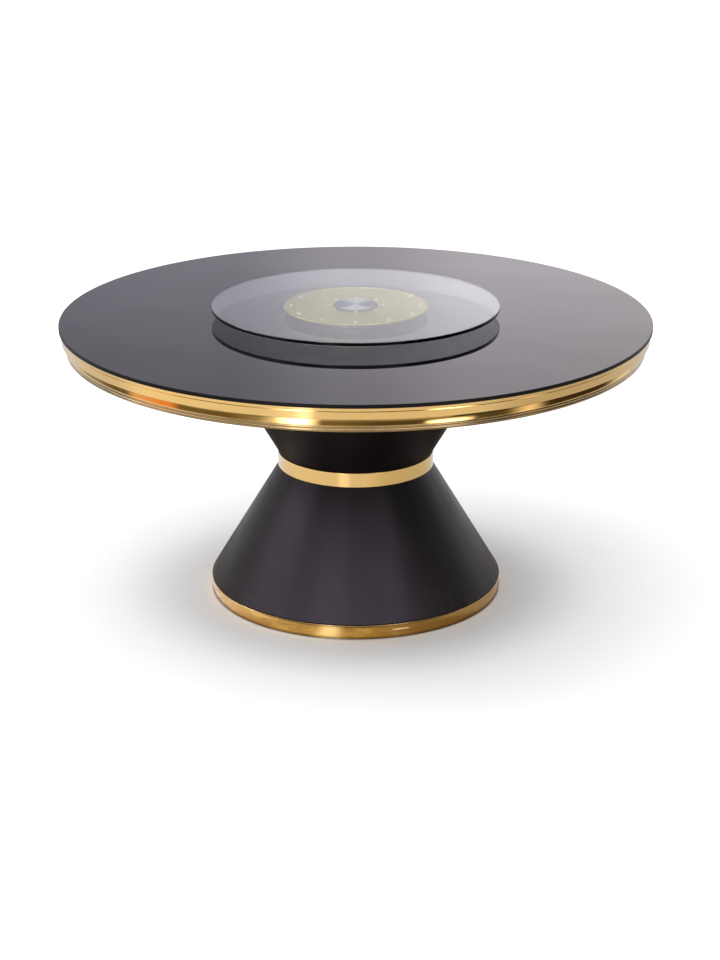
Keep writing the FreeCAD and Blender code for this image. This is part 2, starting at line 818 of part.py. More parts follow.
pad_gap = D.disc_gap - D.carrier_high - D.carrier_sheet
for label, radius, ring, count in (
    ("clear_buttons", D.button_radius, D.button_ring, D.button_count),
    ("clear_bumpers", D.bumper_radius, D.bumper_ring, D.bumper_count),
):
    b = keep(new_body(label, D.table_height + D.carrier_high + D.carrier_sheet))
    sk = new_sketch(b, "XY_Plane")
    circle(sk, radius, ring, 0)
    ring_of(b, [pad(b, sk, pad_gap)], count)

# rayed centre disc under the clear glass, with a spigot into the carrier plate
spigot_long = pad_gap - D.hub_disc_thick + 2
b = keep(new_body("centre_disc", disc_low - D.hub_disc_thick - spigot_long))
turned(
    b,
    [
        (0, 0),
        (D.spigot_radius - 0.6, 0),
        (D.spigot_radius, 0.6),
        (D.spigot_radius, spigot_long),
        (D.hub_disc_radius - 0.5, spigot_long),
        (D.hub_disc_radius, spigot_long + 0.5),
        (D.hub_disc_radius, spigot_long + D.hub_disc_thick),
        (0, spigot_long + D.hub_disc_thick),
    ],
)

glass_disc("turntable_glass", disc_low, D.disc_radius, D.disc_thick)

# ---------------------------------------------------------------- check and write
doc.recompute()
for o in doc.Objects:
    if "Invalid" in o.State or "Error" in o.State:
        raise RuntimeError("%s did not compute: %s" % (o.Label, o.State))
    if o.TypeId == "Sketcher::SketchObject" and not o.FullyConstrained:
        raise RuntimeError("%s is not fully constrained" % o.Label)
for label, o in bodies.items():
    if o.Shape.isNull() or not o.Shape.isValid() or o.Shape.Volume <= 0 or not o.Shape.Solids:
        raise RuntimeError("%s has no valid solid" % label)

os.makedirs("parts", exist_ok=True)
for label, o in bodies.items():
    o.Shape.exportStep(os.path.join("parts", label + ".step"))
    box = o.Shape.BoundBox
    print(
        "%-22s %2d solid(s) %12.0f mm3  r %7.2f  z %7.2f to %7.2f"
        % (label, len(o.Shape.Solids), o.Shape.Volume, box.XMax, box.ZMin, box.ZMax)
    )
print(len(bodies), "pieces")
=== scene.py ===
"""Looks of the banquet table: black glass top with a gilt rim, hourglass pedestal and a clear glass turntable."""

import json
import math
import random

import bpy
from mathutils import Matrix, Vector


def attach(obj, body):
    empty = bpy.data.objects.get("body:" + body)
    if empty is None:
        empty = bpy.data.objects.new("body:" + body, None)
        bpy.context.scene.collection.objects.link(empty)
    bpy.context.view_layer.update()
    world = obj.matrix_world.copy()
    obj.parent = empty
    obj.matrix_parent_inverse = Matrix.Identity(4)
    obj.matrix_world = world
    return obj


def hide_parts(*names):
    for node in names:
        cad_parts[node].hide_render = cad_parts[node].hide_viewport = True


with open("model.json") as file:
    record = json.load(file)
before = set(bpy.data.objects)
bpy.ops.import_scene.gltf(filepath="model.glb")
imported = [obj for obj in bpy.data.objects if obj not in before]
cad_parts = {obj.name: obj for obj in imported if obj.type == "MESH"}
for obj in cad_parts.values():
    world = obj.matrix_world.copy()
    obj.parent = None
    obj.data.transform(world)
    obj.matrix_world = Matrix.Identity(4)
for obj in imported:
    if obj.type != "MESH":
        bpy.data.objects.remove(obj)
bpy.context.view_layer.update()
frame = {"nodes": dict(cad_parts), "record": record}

MM = 0.001
scene = bpy.context.scene
random.seed(7)


# ---------------------------------------------------------------- camera

eye = bpy.data.cameras.new("eye")
eye.sensor_width = 36.0
eye.lens = 83.447
eye.shift_x = 0.00445
eye.shift_y = 0.0
eye.clip_start = 0.1
eye.clip_end = 200.0
eye.dof.use_dof = False
camera = bpy.data.objects.new("eye", eye)
camera.location = (0.0, -5.8335, 2.3757)
camera.rotation_euler = (math.radians(70.481), 0.0, 0.0)
scene.collection.objects.link(camera)
scene.camera = camera
scene.view_settings.view_transform = "Standard"
scene.view_settings.look = "None"
scene.view_settings.exposure = 0.0
scene.view_settings.gamma = 1.0


# ---------------------------------------------------------------- node helpers


class Shade:
    """A small builder of shader nodes for one material."""

    def __init__(self, name):
        self.mat = bpy.data.materials.new(name)
        self.mat.use_nodes = True
        self.tree = self.mat.node_tree
        self.tree.nodes.clear()
        self.out = self.add("ShaderNodeOutputMaterial")
        self.bsdf = self.add("ShaderNodeBsdfPrincipled")
        self.join(self.bsdf.outputs[0], self.out.inputs["Surface"])
        self.coord = None

    def add(self, kind, **props):
        made = self.tree.nodes.new(kind)
        for key, value in props.items():
            setattr(made, key, value)
        return made

    def join(self, a, b):
        self.tree.links.new(a, b)

    def put(self, node, name, value):
        """Sets a socket to a number, a colour or another node's output."""
        socket = node.inputs[name]
        if hasattr(value, "is_output"):
            self.join(value, socket)
        else:
            socket.default_value = value

    def set(self, **values):
        for key, value in values.items():
            self.put(self.bsdf, key.replace("_", " "), value)

    def place(self):
        if self.coord is None:
            self.coord = self.add("ShaderNodeTexCoord")
        return self.coord.outputs["Object"]

    def maths(self, operation, a, b=0.5, c=None, clamp=False):
        n = self.add("ShaderNodeMath", operation=operation, use_clamp=clamp)
        self.put(n, 0, a)
        self.put(n, 1, b)
        if c is not None:
            self.put(n, 2, c)
        return n.outputs[0]

    def spread(self, value, low, high, to_low=0.0, to_high=1.0, smooth=True):
        n = self.add("ShaderNodeMapRange")
        n.interpolation_type = "SMOOTHSTEP" if smooth else "LINEAR"
        self.put(n, "Value", value)
        self.put(n, "From Min", low)
        self.put(n, "From Max", high)
        self.put(n, "To Min", to_low)
        self.put(n, "To Max", to_high)
        return n.outputs["Result"]

    def noise(self, scale, detail=3.0, rough=0.55, where=None, stretch=None, twist=0.0):
        where = self.place() if where is None else where
        if stretch is not None:
            m = self.add("ShaderNodeMapping")
            self.put(m, "Vector", where)
            m.inputs["Scale"].default_value = stretch
            where = m.outputs["Vector"]
        n = self.add("ShaderNodeTexNoise")
        self.put(n, "Vector", where)
        self.put(n, "Scale", scale)
        self.put(n, "Detail", detail)
        self.put(n, "Roughness", rough)
        self.put(n, "Distortion", twist)
        return n.outputs["Fac"]

    def cells(self, scale, where=None, feature="F1", out="Distance"):
        n = self.add("ShaderNodeTexVoronoi", feature=feature)
        self.put(n, "Vector", self.place() if where is None else where)
        self.put(n, "Scale", scale)
        return n.outputs[out]

    def mix(self, share, a, b):
        n = self.add("ShaderNodeMix", data_type="RGBA")
        self.put(n, 0, share)
        for slot, value in ((6, a), (7, b)):
            if hasattr(value, "is_output"):
                self.join(value, n.inputs[slot])
            else:
                n.inputs[slot].default_value = (*value, 1.0) if len(value) == 3 else value
        return n.outputs[2]

    def bump(self, height, distance, strength=1.0, under=None):
        n = self.add("ShaderNodeBump")
        self.put(n, "Height", height)
        self.put(n, "Distance", distance)
        self.put(n, "Strength", strength)
        if under is not None:
            self.put(n, "Normal", under)
        return n.outputs["Normal"]

    def round_about(self):
        """The parts of the place: x, y, z, the distance from the upright axis, and the level direction as a vector."""
        parts = self.add("ShaderNodeSeparateXYZ")
        self.put(parts, "Vector", self.place())
        x, y, z = parts.outputs
        r = self.maths(
            "SQRT", self.maths("ADD", self.maths("MULTIPLY", x, x), self.maths("MULTIPLY", y, y))
        )
        r_safe = self.maths("MAXIMUM", r, 0.0005)
        way = self.add("ShaderNodeCombineXYZ")
        self.put(way, "X", self.maths("DIVIDE", x, r_safe))
        self.put(way, "Y", self.maths("DIVIDE", y, r_safe))
        return x, y, z, r, way.outputs[0]


def rgb(*c):
    return (*c, 1.0)


# ---------------------------------------------------------------- materials


def black_glass():
    s = Shade("black_glass")
    smear = s.noise(5.5, 5.0, 0.6, twist=0.6)
    streak = s.noise(16.0, 3.0, 0.6, stretch=(1.0, 0.35, 1.0))
    wiped = s.maths("MULTIPLY", s.spread(smear, 0.46, 0.72), s.spread(streak, 0.40, 0.70))
    specks = s.spread(s.cells(210.0), 0.035, 0.015)
    keep = s.spread(s.noise(9.0, 2.0), 0.52, 0.62)
    dust = s.maths("MULTIPLY", specks, keep)
    s.set(
        Base_Color=s.mix(dust, (0.0045, 0.0040, 0.0050), (0.05, 0.048, 0.046)),
        Roughness=s.maths("ADD", s.maths("MULTIPLY_ADD", wiped, 0.035, 0.014), s.maths("MULTIPLY", dust, 0.25)),
        IOR=1.5,
        Specular_Tint=rgb(0.975, 0.945, 1.0),
    )
    wave = s.noise(2.6, 1.0, 0.4)
    s.set(Normal=s.bump(wave, 0.0009))
    return s.mat


def ground_edge():
    """The ground edge of the black glass: the same glass, finely matt."""
    s = Shade("black_glass_edge")
    grit = s.noise(1400.0, 2.0, 0.6)
    lines = s.noise(30.0, 3.0, 0.6, stretch=(1.0, 1.0, 22.0))
    s.set(
        Base_Color=s.mix(s.spread(lines, 0.35, 0.7), (0.0032, 0.0025, 0.0028), (0.0060, 0.0052, 0.0056)),
        Roughness=s.spread(lines, 0.3, 0.75, 0.36, 0.50),
        IOR=1.24,
        Normal=s.bump(grit, 0.000012),
    )
    return s.mat


def clear_glass():
    s = Shade("clear_glass")
    smear = s.noise(7.0, 4.0, 0.6, twist=0.5)
    s.set(
        Base_Color=rgb(0.68, 0.745, 0.735),
        Roughness=s.spread(smear, 0.45, 0.75, 0.0, 0.028),
        IOR=1.56,
        Transmission_Weight=1.0,
    )
    wave = s.noise(3.0, 1.0, 0.4)
    s.set(Normal=s.bump(wave, 0.0006))
    return s.mat


def gilt(name, base, deep, rough=0.075, wobble=0.0012, painted_shade_band=None):
    """Polished gold-coloured stainless strip: nearly a mirror, with the long waves of rolled sheet, faint polishing
    lines along it, wiped marks, and a butt seam at the back. Given a band of heights, it is painted darker, browner and
    a little rougher below that band, in patches: painted shade for the dim floor it mirrors low down.
    """
    s = Shade(name)
    x, y, z, r, way = s.round_about()
    along = s.add("ShaderNodeVectorMath", operation="SCALE")
    s.put(along, 0, way)
    along.inputs["Scale"].default_value = 1.0
    lift = s.add("ShaderNodeCombineXYZ")
    s.put(lift, "Z", s.maths("MULTIPLY", z, 30.0))
    place = s.add("ShaderNodeVectorMath", operation="ADD")
    s.put(place, 0, along.outputs[0])
    s.put(place, 1, lift.outputs[0])
    lines = s.noise(14.0, 3.0, 0.6, where=place.outputs[0], stretch=(1.0, 1.0, 9.0))
    smear = s.noise(11.0, 4.0, 0.6, twist=0.8)
    seam = s.maths(
        "MULTIPLY", s.spread(s.maths("ABSOLUTE", x), 0.0007, 0.0003), s.maths("GREATER_THAN", y, 0.0)
    )
    colour = s.mix(s.spread(s.noise(4.0, 3.0), 0.35, 0.7), base, deep)
    colour = s.mix(seam, colour, (0.16, 0.10, 0.04))
    rougher = s.maths("MULTIPLY", seam, 0.25)
    # painted shade: darker, browner gold low on the strip, for the dim floor mirrored there
    if painted_shade_band:
        patchy = s.spread(s.noise(9.0, 4.0, 0.65), 0.30, 0.62, 0.72, 1.0)
        painted_shade_share = s.maths("MULTIPLY", s.spread(z, painted_shade_band[1], painted_shade_band[0]), patchy)
        colour = s.mix(painted_shade_share, colour, (0.335, 0.225, 0.088))
        rougher = s.maths("ADD", rougher, s.maths("MULTIPLY", painted_shade_share, 0.07))
    s.set(
        Base_Color=colour,
        Metallic=1.0,
        Roughness=s.maths(
            "ADD",
            s.spread(lines, 0.3, 0.75, rough - 0.018, rough + 0.022),
            s.maths("ADD", rougher, s.spread(smear, 0.50, 0.74, 0.0, 0.045)),
        ),
        Coat_Weight=1.0,
        Coat_Roughness=0.03,
        Coat_IOR=1.5,
    )
    long_wave = s.noise(5.2, 1.0, 0.4)
    short_wave = s.noise(17.0, 2.0, 0.5)
    n = s.bump(long_wave, wobble)
    n = s.bump(short_wave, wobble * 0.22, under=n)
    n = s.bump(lines, 0.000012, under=n)
    s.set(Normal=n)
    return s.mat


def spun(name, base, deep, rough, stretch, groove, painted_fan_shade=None):
    """Turned or spun metal: fine rings that draw a light out into a bow across them. Given a dark colour as its last
    argument, it also paints a bow of reflected light into the colour: two dark fans at the sides with ragged ray edges
    and pale fans between, a painted reflection that turns with the disc.
    """
    s = Shade(name)
    x, y, z, r, way = s.round_about()
    ring = s.add("ShaderNodeCombineXYZ")
    s.put(ring, "X", s.maths("MULTIPLY", r, 1.0))
    rings = s.noise(2600.0, 2.0, 0.7, where=ring.outputs[0])
    broad = s.noise(190.0, 2.0, 0.6, where=ring.outputs[0])
    smear = s.noise(24.0, 3.0)
    tangent = s.add("ShaderNodeTangent", direction_type="RADIAL", axis="Z")
    colour = s.mix(s.spread(broad, 0.35, 0.7), base, deep)
    # painted reflection: the side fans of the bow darkened in the colour
    if painted_fan_shade:
        parts = s.add("ShaderNodeSeparateXYZ")
        s.put(parts, "Vector", way)
        fan = s.maths("ABSOLUTE", parts.outputs["Y"])
        fine = s.noise(17.0, 3.0, 0.7, where=way)
        coarse = s.noise(4.4, 2.0, 0.6, where=way)
        shift = s.maths("MULTIPLY_ADD", s.maths("SUBTRACT", coarse, 0.5), 0.55, fan)
        shift = s.maths("MULTIPLY_ADD", s.maths("SUBTRACT", fine, 0.5), 0.50, shift)
        colour = s.mix(s.spread(shift, 0.58, 0.84, 1.0, 0.0), colour, painted_fan_shade)
    s.set(
        Base_Color=colour,
        Metallic=1.0,
        Roughness=s.maths(
            "ADD", s.spread(rings, 0.25, 0.8, rough - 0.02, rough + 0.02), s.spread(smear, 0.5, 0.75, 0.0, 0.04)
        ),
        Anisotropic=stretch,
        Tangent=tangent.outputs[0],
        Normal=s.bump(rings, groove),
    )
    return s.mat


def paint(name="charcoal_paint", deep=1.0, ior=1.44):
    """Satin charcoal paint on rolled sheet: a fine orange peel, long upright waves from the rolling, a dusty foot and a
    few rubs. deep below 1 darkens the whole colour, for a copy with painted shade.
    """
    s = Shade(name)
    x, y, z, r, way = s.round_about()
    peel = s.noise(620.0, 2.0, 0.5)
    fine = s.noise(1500.0, 2.0, 0.6)
    blotch = s.noise(3.6, 4.0, 0.6, twist=0.4)
    rub = s.maths("MULTIPLY", s.spread(s.noise(60.0, 3.0, stretch=(1.0, 1.0, 0.25)), 0.60, 0.72), s.spread(s.noise(6.0, 2.0), 0.55, 0.70))
    dusty = s.maths("MULTIPLY", s.spread(z, 0.13, 0.035), s.spread(s.noise(40.0, 4.0, 0.7), 0.35, 0.75))
    # deep scales the colour down; below 1 it is painted shade
    colour = s.mix(s.spread(blotch, 0.3, 0.75), [deep * v for v in (0.0075, 0.0056, 0.0070)], [deep * v for v in (0.0110, 0.0084, 0.0102)])
    colour = s.mix(s.maths("MULTIPLY", dusty, 0.22), colour, (0.075, 0.068, 0.064))
    colour = s.mix(s.maths("MULTIPLY", rub, 0.20), colour, (0.045, 0.041, 0.042))
    s.set(
        Base_Color=colour,
        Roughness=s.maths(
            "ADD",
            s.spread(blotch, 0.3, 0.75, 0.36, 0.44),
            s.maths("MULTIPLY_ADD", dusty, 0.16, s.maths("MULTIPLY", rub, 0.08)),
        ),
        IOR=ior,
        Specular_Tint=rgb(0.93, 0.84, 1.0),
    )
    roll = s.noise(3.1, 1.0, 0.4, where=way)
    n = s.bump(roll, 0.0035)
    n = s.bump(peel, 0.000055, under=n)
    n = s.bump(fine, 0.000012, under=n)
    s.set(Normal=n)
    return s.mat


def steel(name, base, deep, rough, scaly=0.0):
    s = Shade(name)
    grain = s.noise(300.0, 3.0, 0.6, stretch=(1.0, 1.0, 0.12))
    stain = s.noise(9.0, 5.0, 0.65, twist=0.7)
    rust = s.maths("MULTIPLY", s.spread(s.noise(38.0, 5.0, 0.7), 0.62, 0.74), scaly)
    colour = s.mix(s.spread(stain, 0.3, 0.72), base, deep)
    colour = s.mix(rust, colour, (0.16, 0.07, 0.03))
    s.set(
        Base_Color=colour,
        Metallic=s.maths("SUBTRACT", 1.0, s.maths("MULTIPLY", rust, 0.8)),
        Roughness=s.maths("ADD", s.spread(grain, 0.3, 0.75, rough - 0.05, rough + 0.07), s.maths("MULTIPLY", rust, 0.3)),
        Normal=s.bump(grain, 0.00004),
    )
    return s.mat


def zinc():
    s = Shade("zinc")
    cloud = s.noise(130.0, 3.0, 0.6)
    colour = s.mix(s.spread(cloud, 0.35, 0.7), (0.56, 0.57, 0.60), (0.66, 0.63, 0.50))
    s.set(
        Base_Color=colour,
        Metallic=1.0,
        Roughness=s.spread(cloud, 0.3, 0.75, 0.24, 0.38),
        Normal=s.bump(s.noise(900.0, 2.0), 0.00001),
    )
    return s.mat


def ball_steel():
    s = Shade("ball_steel")
    s.set(
        Base_Color=rgb(0.62, 0.62, 0.63),
        Metallic=1.0,
        Roughness=s.spread(s.noise(400.0, 3.0), 0.35, 0.75, 0.06, 0.14),
        Normal=s.bump(s.noise(700.0, 2.0), 0.000004),
    )
    return s.mat


def plastic(name, base, deep, rough, grain, deep_of_grain, through=0.0):
    s = Shade(name)
    tone = s.noise(22.0, 3.0)
    texture = s.noise(grain, 2.0, 0.5)
    s.set(
        Base_Color=s.mix(s.spread(tone, 0.35, 0.7), base, deep),
        Roughness=s.spread(texture, 0.3, 0.75, rough - 0.06, rough + 0.08),
        IOR=1.5,
        Normal=s.bump(texture, deep_of_grain),
    )
    if through:
        s.set(Transmission_Weight=through)
    return s.mat


def plywood():
    """Birch plywood: long grain on the faces, and pale and brown plies in turn on the edges."""
    s = Shade("plywood")
    x, y, z, r, way = s.round_about()
    grain = s.noise(28.0, 5.0, 0.62, stretch=(1.0, 11.0, 1.0), twist=0.5)
    pores = s.noise(150.0, 3.0, 0.6, stretch=(1.0, 18.0, 1.0))
    wood = s.mix(s.spread(grain, 0.3, 0.72), (0.62, 0.43, 0.25), (0.42, 0.25, 0.12))
    wood = s.mix(s.maths("MULTIPLY", s.spread(pores, 0.58, 0.72), 0.35), wood, (0.24, 0.13, 0.06))
    layer = s.maths("FRACT", s.maths("MULTIPLY", z, 340.0))
    ply = s.maths("MULTIPLY", s.spread(layer, 0.42, 0.50), s.spread(layer, 1.0, 0.92))
    edge = s.mix(ply, (0.60, 0.42, 0.24), (0.30, 0.17, 0.08))
    face = s.add("ShaderNodeNewGeometry")
    parts = s.add("ShaderNodeSeparateXYZ")
    s.put(parts, "Vector", face.outputs["Normal"])
    flat = s.spread(s.maths("ABSOLUTE", parts.outputs["Z"]), 0.55, 0.75)
    s.set(
        Base_Color=s.mix(flat, edge, wood),
        Roughness=s.spread(pores, 0.3, 0.75, 0.52, 0.68),
        Normal=s.bump(pores, 0.00008),
    )
    return s.mat


def laminate():
    """Black backing laminate with a pebbled grain, dusty and rubbed in places."""
    s = Shade("board_black")
    pebble = s.cells(900.0)
    cloud = s.noise(5.0, 5.0, 0.65, twist=0.5)
    colour = s.mix(s.spread(cloud, 0.3, 0.75), (0.013, 0.012, 0.012), (0.028, 0.026, 0.025))
    s.set(
        Base_Color=colour,
        Roughness=s.spread(cloud, 0.3, 0.75, 0.46, 0.60),
        Normal=s.bump(pebble, 0.00006),
        IOR=1.5,
    )
    return s.mat


MAKE = {
    "black_glass": black_glass(),
    "clear_glass": clear_glass(),
    "gilt": gilt("gilt", (0.825, 0.535, 0.178), (0.785, 0.485, 0.150)),
    # the rim strip's gilt, with painted shade low down
    "gilt_painted_shade_low": gilt("gilt_painted_shade_low", (0.825, 0.535, 0.178), (0.785, 0.485, 0.150), painted_shade_band=(0.7212, 0.7228)),
    "gilt_spun": spun("gilt_spun", (0.78, 0.62, 0.13), (0.74, 0.58, 0.11), 0.30, 0.55, 0.0000012),
    # the centre disc, its bow of reflected light painted into the colour
    "bright_spun": spun("bright_spun", (0.93, 0.97, 0.95), (0.84, 0.90, 0.89), 0.25, 0.80, 0.0000015, (0.035, 0.055, 0.065)),
    "race_aluminium": steel("race_aluminium", (0.80, 0.80, 0.81), (0.70, 0.70, 0.71), 0.30),
    "charcoal_paint": paint(),
    # a darker copy of the paint for the upper cone: painted shade for the shade under the top
    "charcoal_painted_shade": paint("charcoal_painted_shade", 0.6, 1.30),
    "steel": steel("steel", (0.30, 0.30, 0.31), (0.20, 0.20, 0.205), 0.42, 0.55),
    "zinc": zinc(),
    "ball_steel": ball_steel(),
    "nylon": plastic("nylon", (0.74, 0.73, 0.68), (0.66, 0.65, 0.60), 0.42, 300.0, 0.00002),
    "rubber": plastic("rubber", (0.018, 0.018, 0.018), (0.030, 0.029, 0.028), 0.70, 500.0, 0.00006),
    "clear_rubber": plastic("clear_rubber", (0.95, 0.92, 0.80), (0.92, 0.90, 0.78), 0.12, 300.0, 0.000002, 0.88),
    "plywood": plywood(),
    "board_black": laminate(),
}


# ---------------------------------------------------------------- turned meshes


def sides(corners, arcs, step=6.0):
    """The sides of a closed outline, gone round anticlockwise in (radius, height). An arc leaving corner i is (radius, 1) with its centre on the left of the way, -1 on the right, or 2 for the long way round. Each side has its two ends and the outward direction at each."""
    made = []
    for i, a in enumerate(corners):
        b = corners[(i + 1) % len(corners)]
        dx, dz = b[0] - a[0], b[1] - a[1]
        chord = math.hypot(dx, dz)
        if chord < 1e-7:
            continue
        if i not in arcs:
            n = (dz / chord, -dx / chord)
            made.append((a, b, n, n))
            continue
        radius, side = arcs[i]
        radius = max(radius, chord / 2 + 1e-9)
        off = math.sqrt(max(0.0, radius * radius - chord * chord / 4))
        k = 1.0 if side == 1 else -1.0
        cx = (a[0] + b[0]) / 2 - dz / chord * off * k
        cz = (a[1] + b[1]) / 2 + dx / chord * off * k
        start = math.atan2(a[1] - cz, a[0] - cx)
        end = math.atan2(b[1] - cz, b[0] - cx)
        sweep = (end - start) % (2 * math.pi)
        if side == -1:
            sweep -= 2 * math.pi
        count = max(2, int(math.ceil(abs(math.degrees(sweep)) / step)))
        sign = 1.0 if sweep > 0 else -1.0
        last, last_n = a, (math.cos(start) * sign, math.sin(start) * sign)
        for j in range(1, count + 1):
            at = start + sweep * j / count
            p = b if j == count else (cx + radius * math.cos(at), cz + radius * math.sin(at))
            n = (math.cos(at) * sign, math.sin(at) * sign)
            made.append((last, p, last_n, n))
            last, last_n = p, n
    return made


def turned(name, corners, arcs, base, body, slot, around=384, step=6.0, at=(0.0, 0.0), copies=None, finish=None):
    """A lathe-turned piece, with exact normals so that flats stay flat and rounds stay round. copies places the same small turning at several points of one piece."""
    rows = sides(corners, arcs, step)
    verts, faces, normals = [], [], []
    ring = [(math.cos(2 * math.pi * i / around), math.sin(2 * math.pi * i / around)) for i in range(around)]
    for px, py in copies if copies is not None else [at]:
        keys = {}

        def index(p):
            key = (round(p[0], 5), round(p[1], 5))
            if key not in keys:
                first = len(verts)
                if abs(p[0]) < 1e-6:
                    verts.append((px * MM, py * MM, (base + p[1]) * MM))
                    keys[key] = (first, True)
                else:
                    for c, s in ring:
                        verts.append(((px + p[0] * c) * MM, (py + p[0] * s) * MM, (base + p[1]) * MM))
                    keys[key] = (first, False)
            return keys[key]

        for a, b, na, nb in rows:
            ia, pole_a = index(a)
            ib, pole_b = index(b)
            if pole_a and pole_b:
                continue
            for i in range(around):
                j = (i + 1) % around
                ci, si = ring[i]
                cj, sj = ring[j]
                a_i = (na[0] * ci, na[0] * si, na[1])
                a_j = (na[0] * cj, na[0] * sj, na[1])
                b_i = (nb[0] * ci, nb[0] * si, nb[1])
                b_j = (nb[0] * cj, nb[0] * sj, nb[1])
                if pole_a:
                    faces.append((ia, ib + j, ib + i))
                    normals += [b_i, b_j, b_i]
                elif pole_b:
                    faces.append((ia + i, ia + j, ib))
                    normals += [a_i, a_j, a_i]
                else:
                    faces.append((ia + i, ia + j, ib + j, ib + i))
                    normals += [a_i, a_j, b_j, b_i]
    mesh = bpy.data.meshes.new(name)
    mesh.from_pydata(verts, [], faces)
    mesh.update()
    mesh.polygons.foreach_set("use_smooth", [True] * len(mesh.polygons))
    mesh.normals_split_custom_set([Vector(n).normalized() for n in normals])
    mesh.materials.append(MAKE[finish or slot])
    made = bpy.data.objects.new(name, mesh)
    scene.collection.objects.link(made)
    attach(made, body)
    return made


def circle_of(radius, count, turn=0.0):
    return [
        (
            radius * math.cos(math.radians(turn) + 2 * math.pi * i / count),
            radius * math.sin(math.radians(turn) + 2 * math.pi * i / count),
        )
        for i in range(count)
    ]


def pane(radius, thick):
    ease = 1.4
    return (
        [(0, 0), (radius - ease, 0), (radius, ease), (radius, thick - ease), (radius - ease, thick), (0, thick)],
        {1: (1.484, 1), 3: (1.484, 1)},
    )


# the black glass top
top = turned("black_glass_top", *pane(799.95, 10.0), 770.0, "table", "black_glass", around=720)
top.data.materials.append(ground_edge())
for face in top.data.polygons:
    if math.hypot(face.center.x, face.center.y) > 0.7986:
        face.material_index = 1
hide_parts("top_glass")

# the gilt rim strip: folded foot, two beads, a skirt set back, a lip, the flat band with its fine groove, and the flange over the edge
R = 794.0
rim = turned(
    "gilt_rim_strip",
    [
        (758, 0),
        (R - 15.2, 0),
        (R - 14.0, 1.4),
        (R - 12.6, 8.2),
        (R - 12.6, 9.0),
        (R - 11.2, 15.6),
        (R - 9.6, 16.6),
        (R - 9.4, 17.4),
        (R - 12.6, 33.6),
        (R - 11.4, 35.2),
        (R - 1.2, 35.5),
        (R, 36.8),
        (R, 54.4),
        (R, 60.0),
        (R, 63.5),
        (R - 1.2, 64.7),
        (776, 64.7),
        (776, 62.7),
        (R - 2.2, 62.7),
        (R - 2.2, 37.6),
        (R - 12.6, 37.3),
        (R - 14.8, 34.2),
        (R - 11.7, 18.0),
        (R - 13.6, 16.6),
        (R - 16.0, 2),
        (758, 2),
    ],
    {1: (1.3, 1), 2: (4.4, 1), 4: (4.4, 1), 7: (60, 1), 10: (1.3, 1), 12: (21.0, -1), 14: (1.3, 1)},
    705.0,
    "table",
    "gilt",
    around=720,
    step=4.5,
    finish="gilt_painted_shade_low",
)
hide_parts("rim_trim")

# the two cones of the pedestal
lower = turned(
    "pedestal_lower_cone",
    [
        (372, 0),
        (402.4, 0),
        (402.4, 0.9),
        (400.7, 1.8),
        (400.7, 2.6),
        (403.28, 3.7),
        (212, 322.5),
        (185, 322.5),
        (185, 320.5),
        (210.88, 320.5),
        (400.3, 4.8),
        (398.4, 2),
        (372, 2),
    ],
    {},
    39.5,
    "table",
    "charcoal_paint",
    around=512,
)
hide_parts("lower_cone")
# the upper cone takes the darker copy of the paint, painted shade
upper = turned(
    "pedestal_upper_cone",
    [(185, 0), (212, 0), (390.82, 303), (412, 303), (412, 305), (389.68, 305), (210.86, 2), (185, 2)],
    {},
    402.0,
    "table",
    "charcoal_paint",
    around=512,
    finish="charcoal_painted_shade",
)
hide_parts("upper_cone")

# the waist band and the base band
waist = turned(
    "gilt_waist_band",
    [(212.1, 0), (214.1, 0), (215, 0.9), (215, 39.1), (214.1, 40), (212.1, 40)],
    {1: (1, 1), 3: (1, 1)},
    362.0,
    "table",
    "gilt",
    around=384,
)
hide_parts("waist_band")
foot = turned(
    "gilt_base_band",
    [(401.4, 0), (402.8, 0), (403.4, 0.8), (403.4, 36.7), (402.6, 37.5), (384, 37.5), (384, 35.5), (401.4, 35.5)],
    {1: (1, 1), 2: (125, 1), 3: (0.8, 1), 7: (125, -1)},
    2.0,
    "table",
    "gilt",
    around=512,
    step=1.5,
)
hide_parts("base_ring")

# the turntable: clear disc, bonded centre disc, carrier plate with its rolled lip, and the two races
disc = turned("clear_turntable_disc", *pane(389.95, 10.0), 805.0, "glass_disc", "clear_glass", around=512)
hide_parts("turntable_glass")
disc.visible_shadow = False
centre = turned(
    "spun_centre_disc",
    [(0, 0), (9.4, 0), (10, 0.6), (10, 4.9), (58.5, 4.9), (59, 5.4), (59, 6.45), (0, 6.45)],
    {},
    798.5,
    "glass_disc",
    "bright_spun",
    around=192,
)
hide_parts("centre_disc")
lip_at = 189.907
carrier = turned(
    "gilt_carrier_plate",
    [(10.2, 0), (lip_at, 0), (lip_at, 2.5), (10.2, 2.5)],
    {1: (2.7, 2)},
    798.0,
    "turntable",
    "gilt_spun",
    around=384,
)
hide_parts("carrier_plate")
half = math.sqrt(3.62**2 - 1.2**2)
outer_race = turned(
    "race_fixed_ring",
    [
        (141.2, 0),
        (159, 0),
        (160, 1),
        (160, 10),
        (158.5, 11.5),
        (141.2, 11.5),
        (141.2, 5.75 + half),
        (141.2, 5.75 - half),
    ],
    {6: (3.62, -1)},
    782.5,
    "turntable_base",
    "race_aluminium",
    around=256,
    step=10.0,
)
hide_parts("fixed_race")
inner_race = turned(
    "race_turning_ring",
    [(118, 0), (138.8, 0), (138.8, 4.75 - half), (138.8, 4.75 + half), (138.8, 14.5), (118, 14.5)],
    {2: (3.62, -1)},
    783.5,
    "turntable",
    "race_aluminium",
    around=256,
    step=10.0,
)
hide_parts("turning_race")


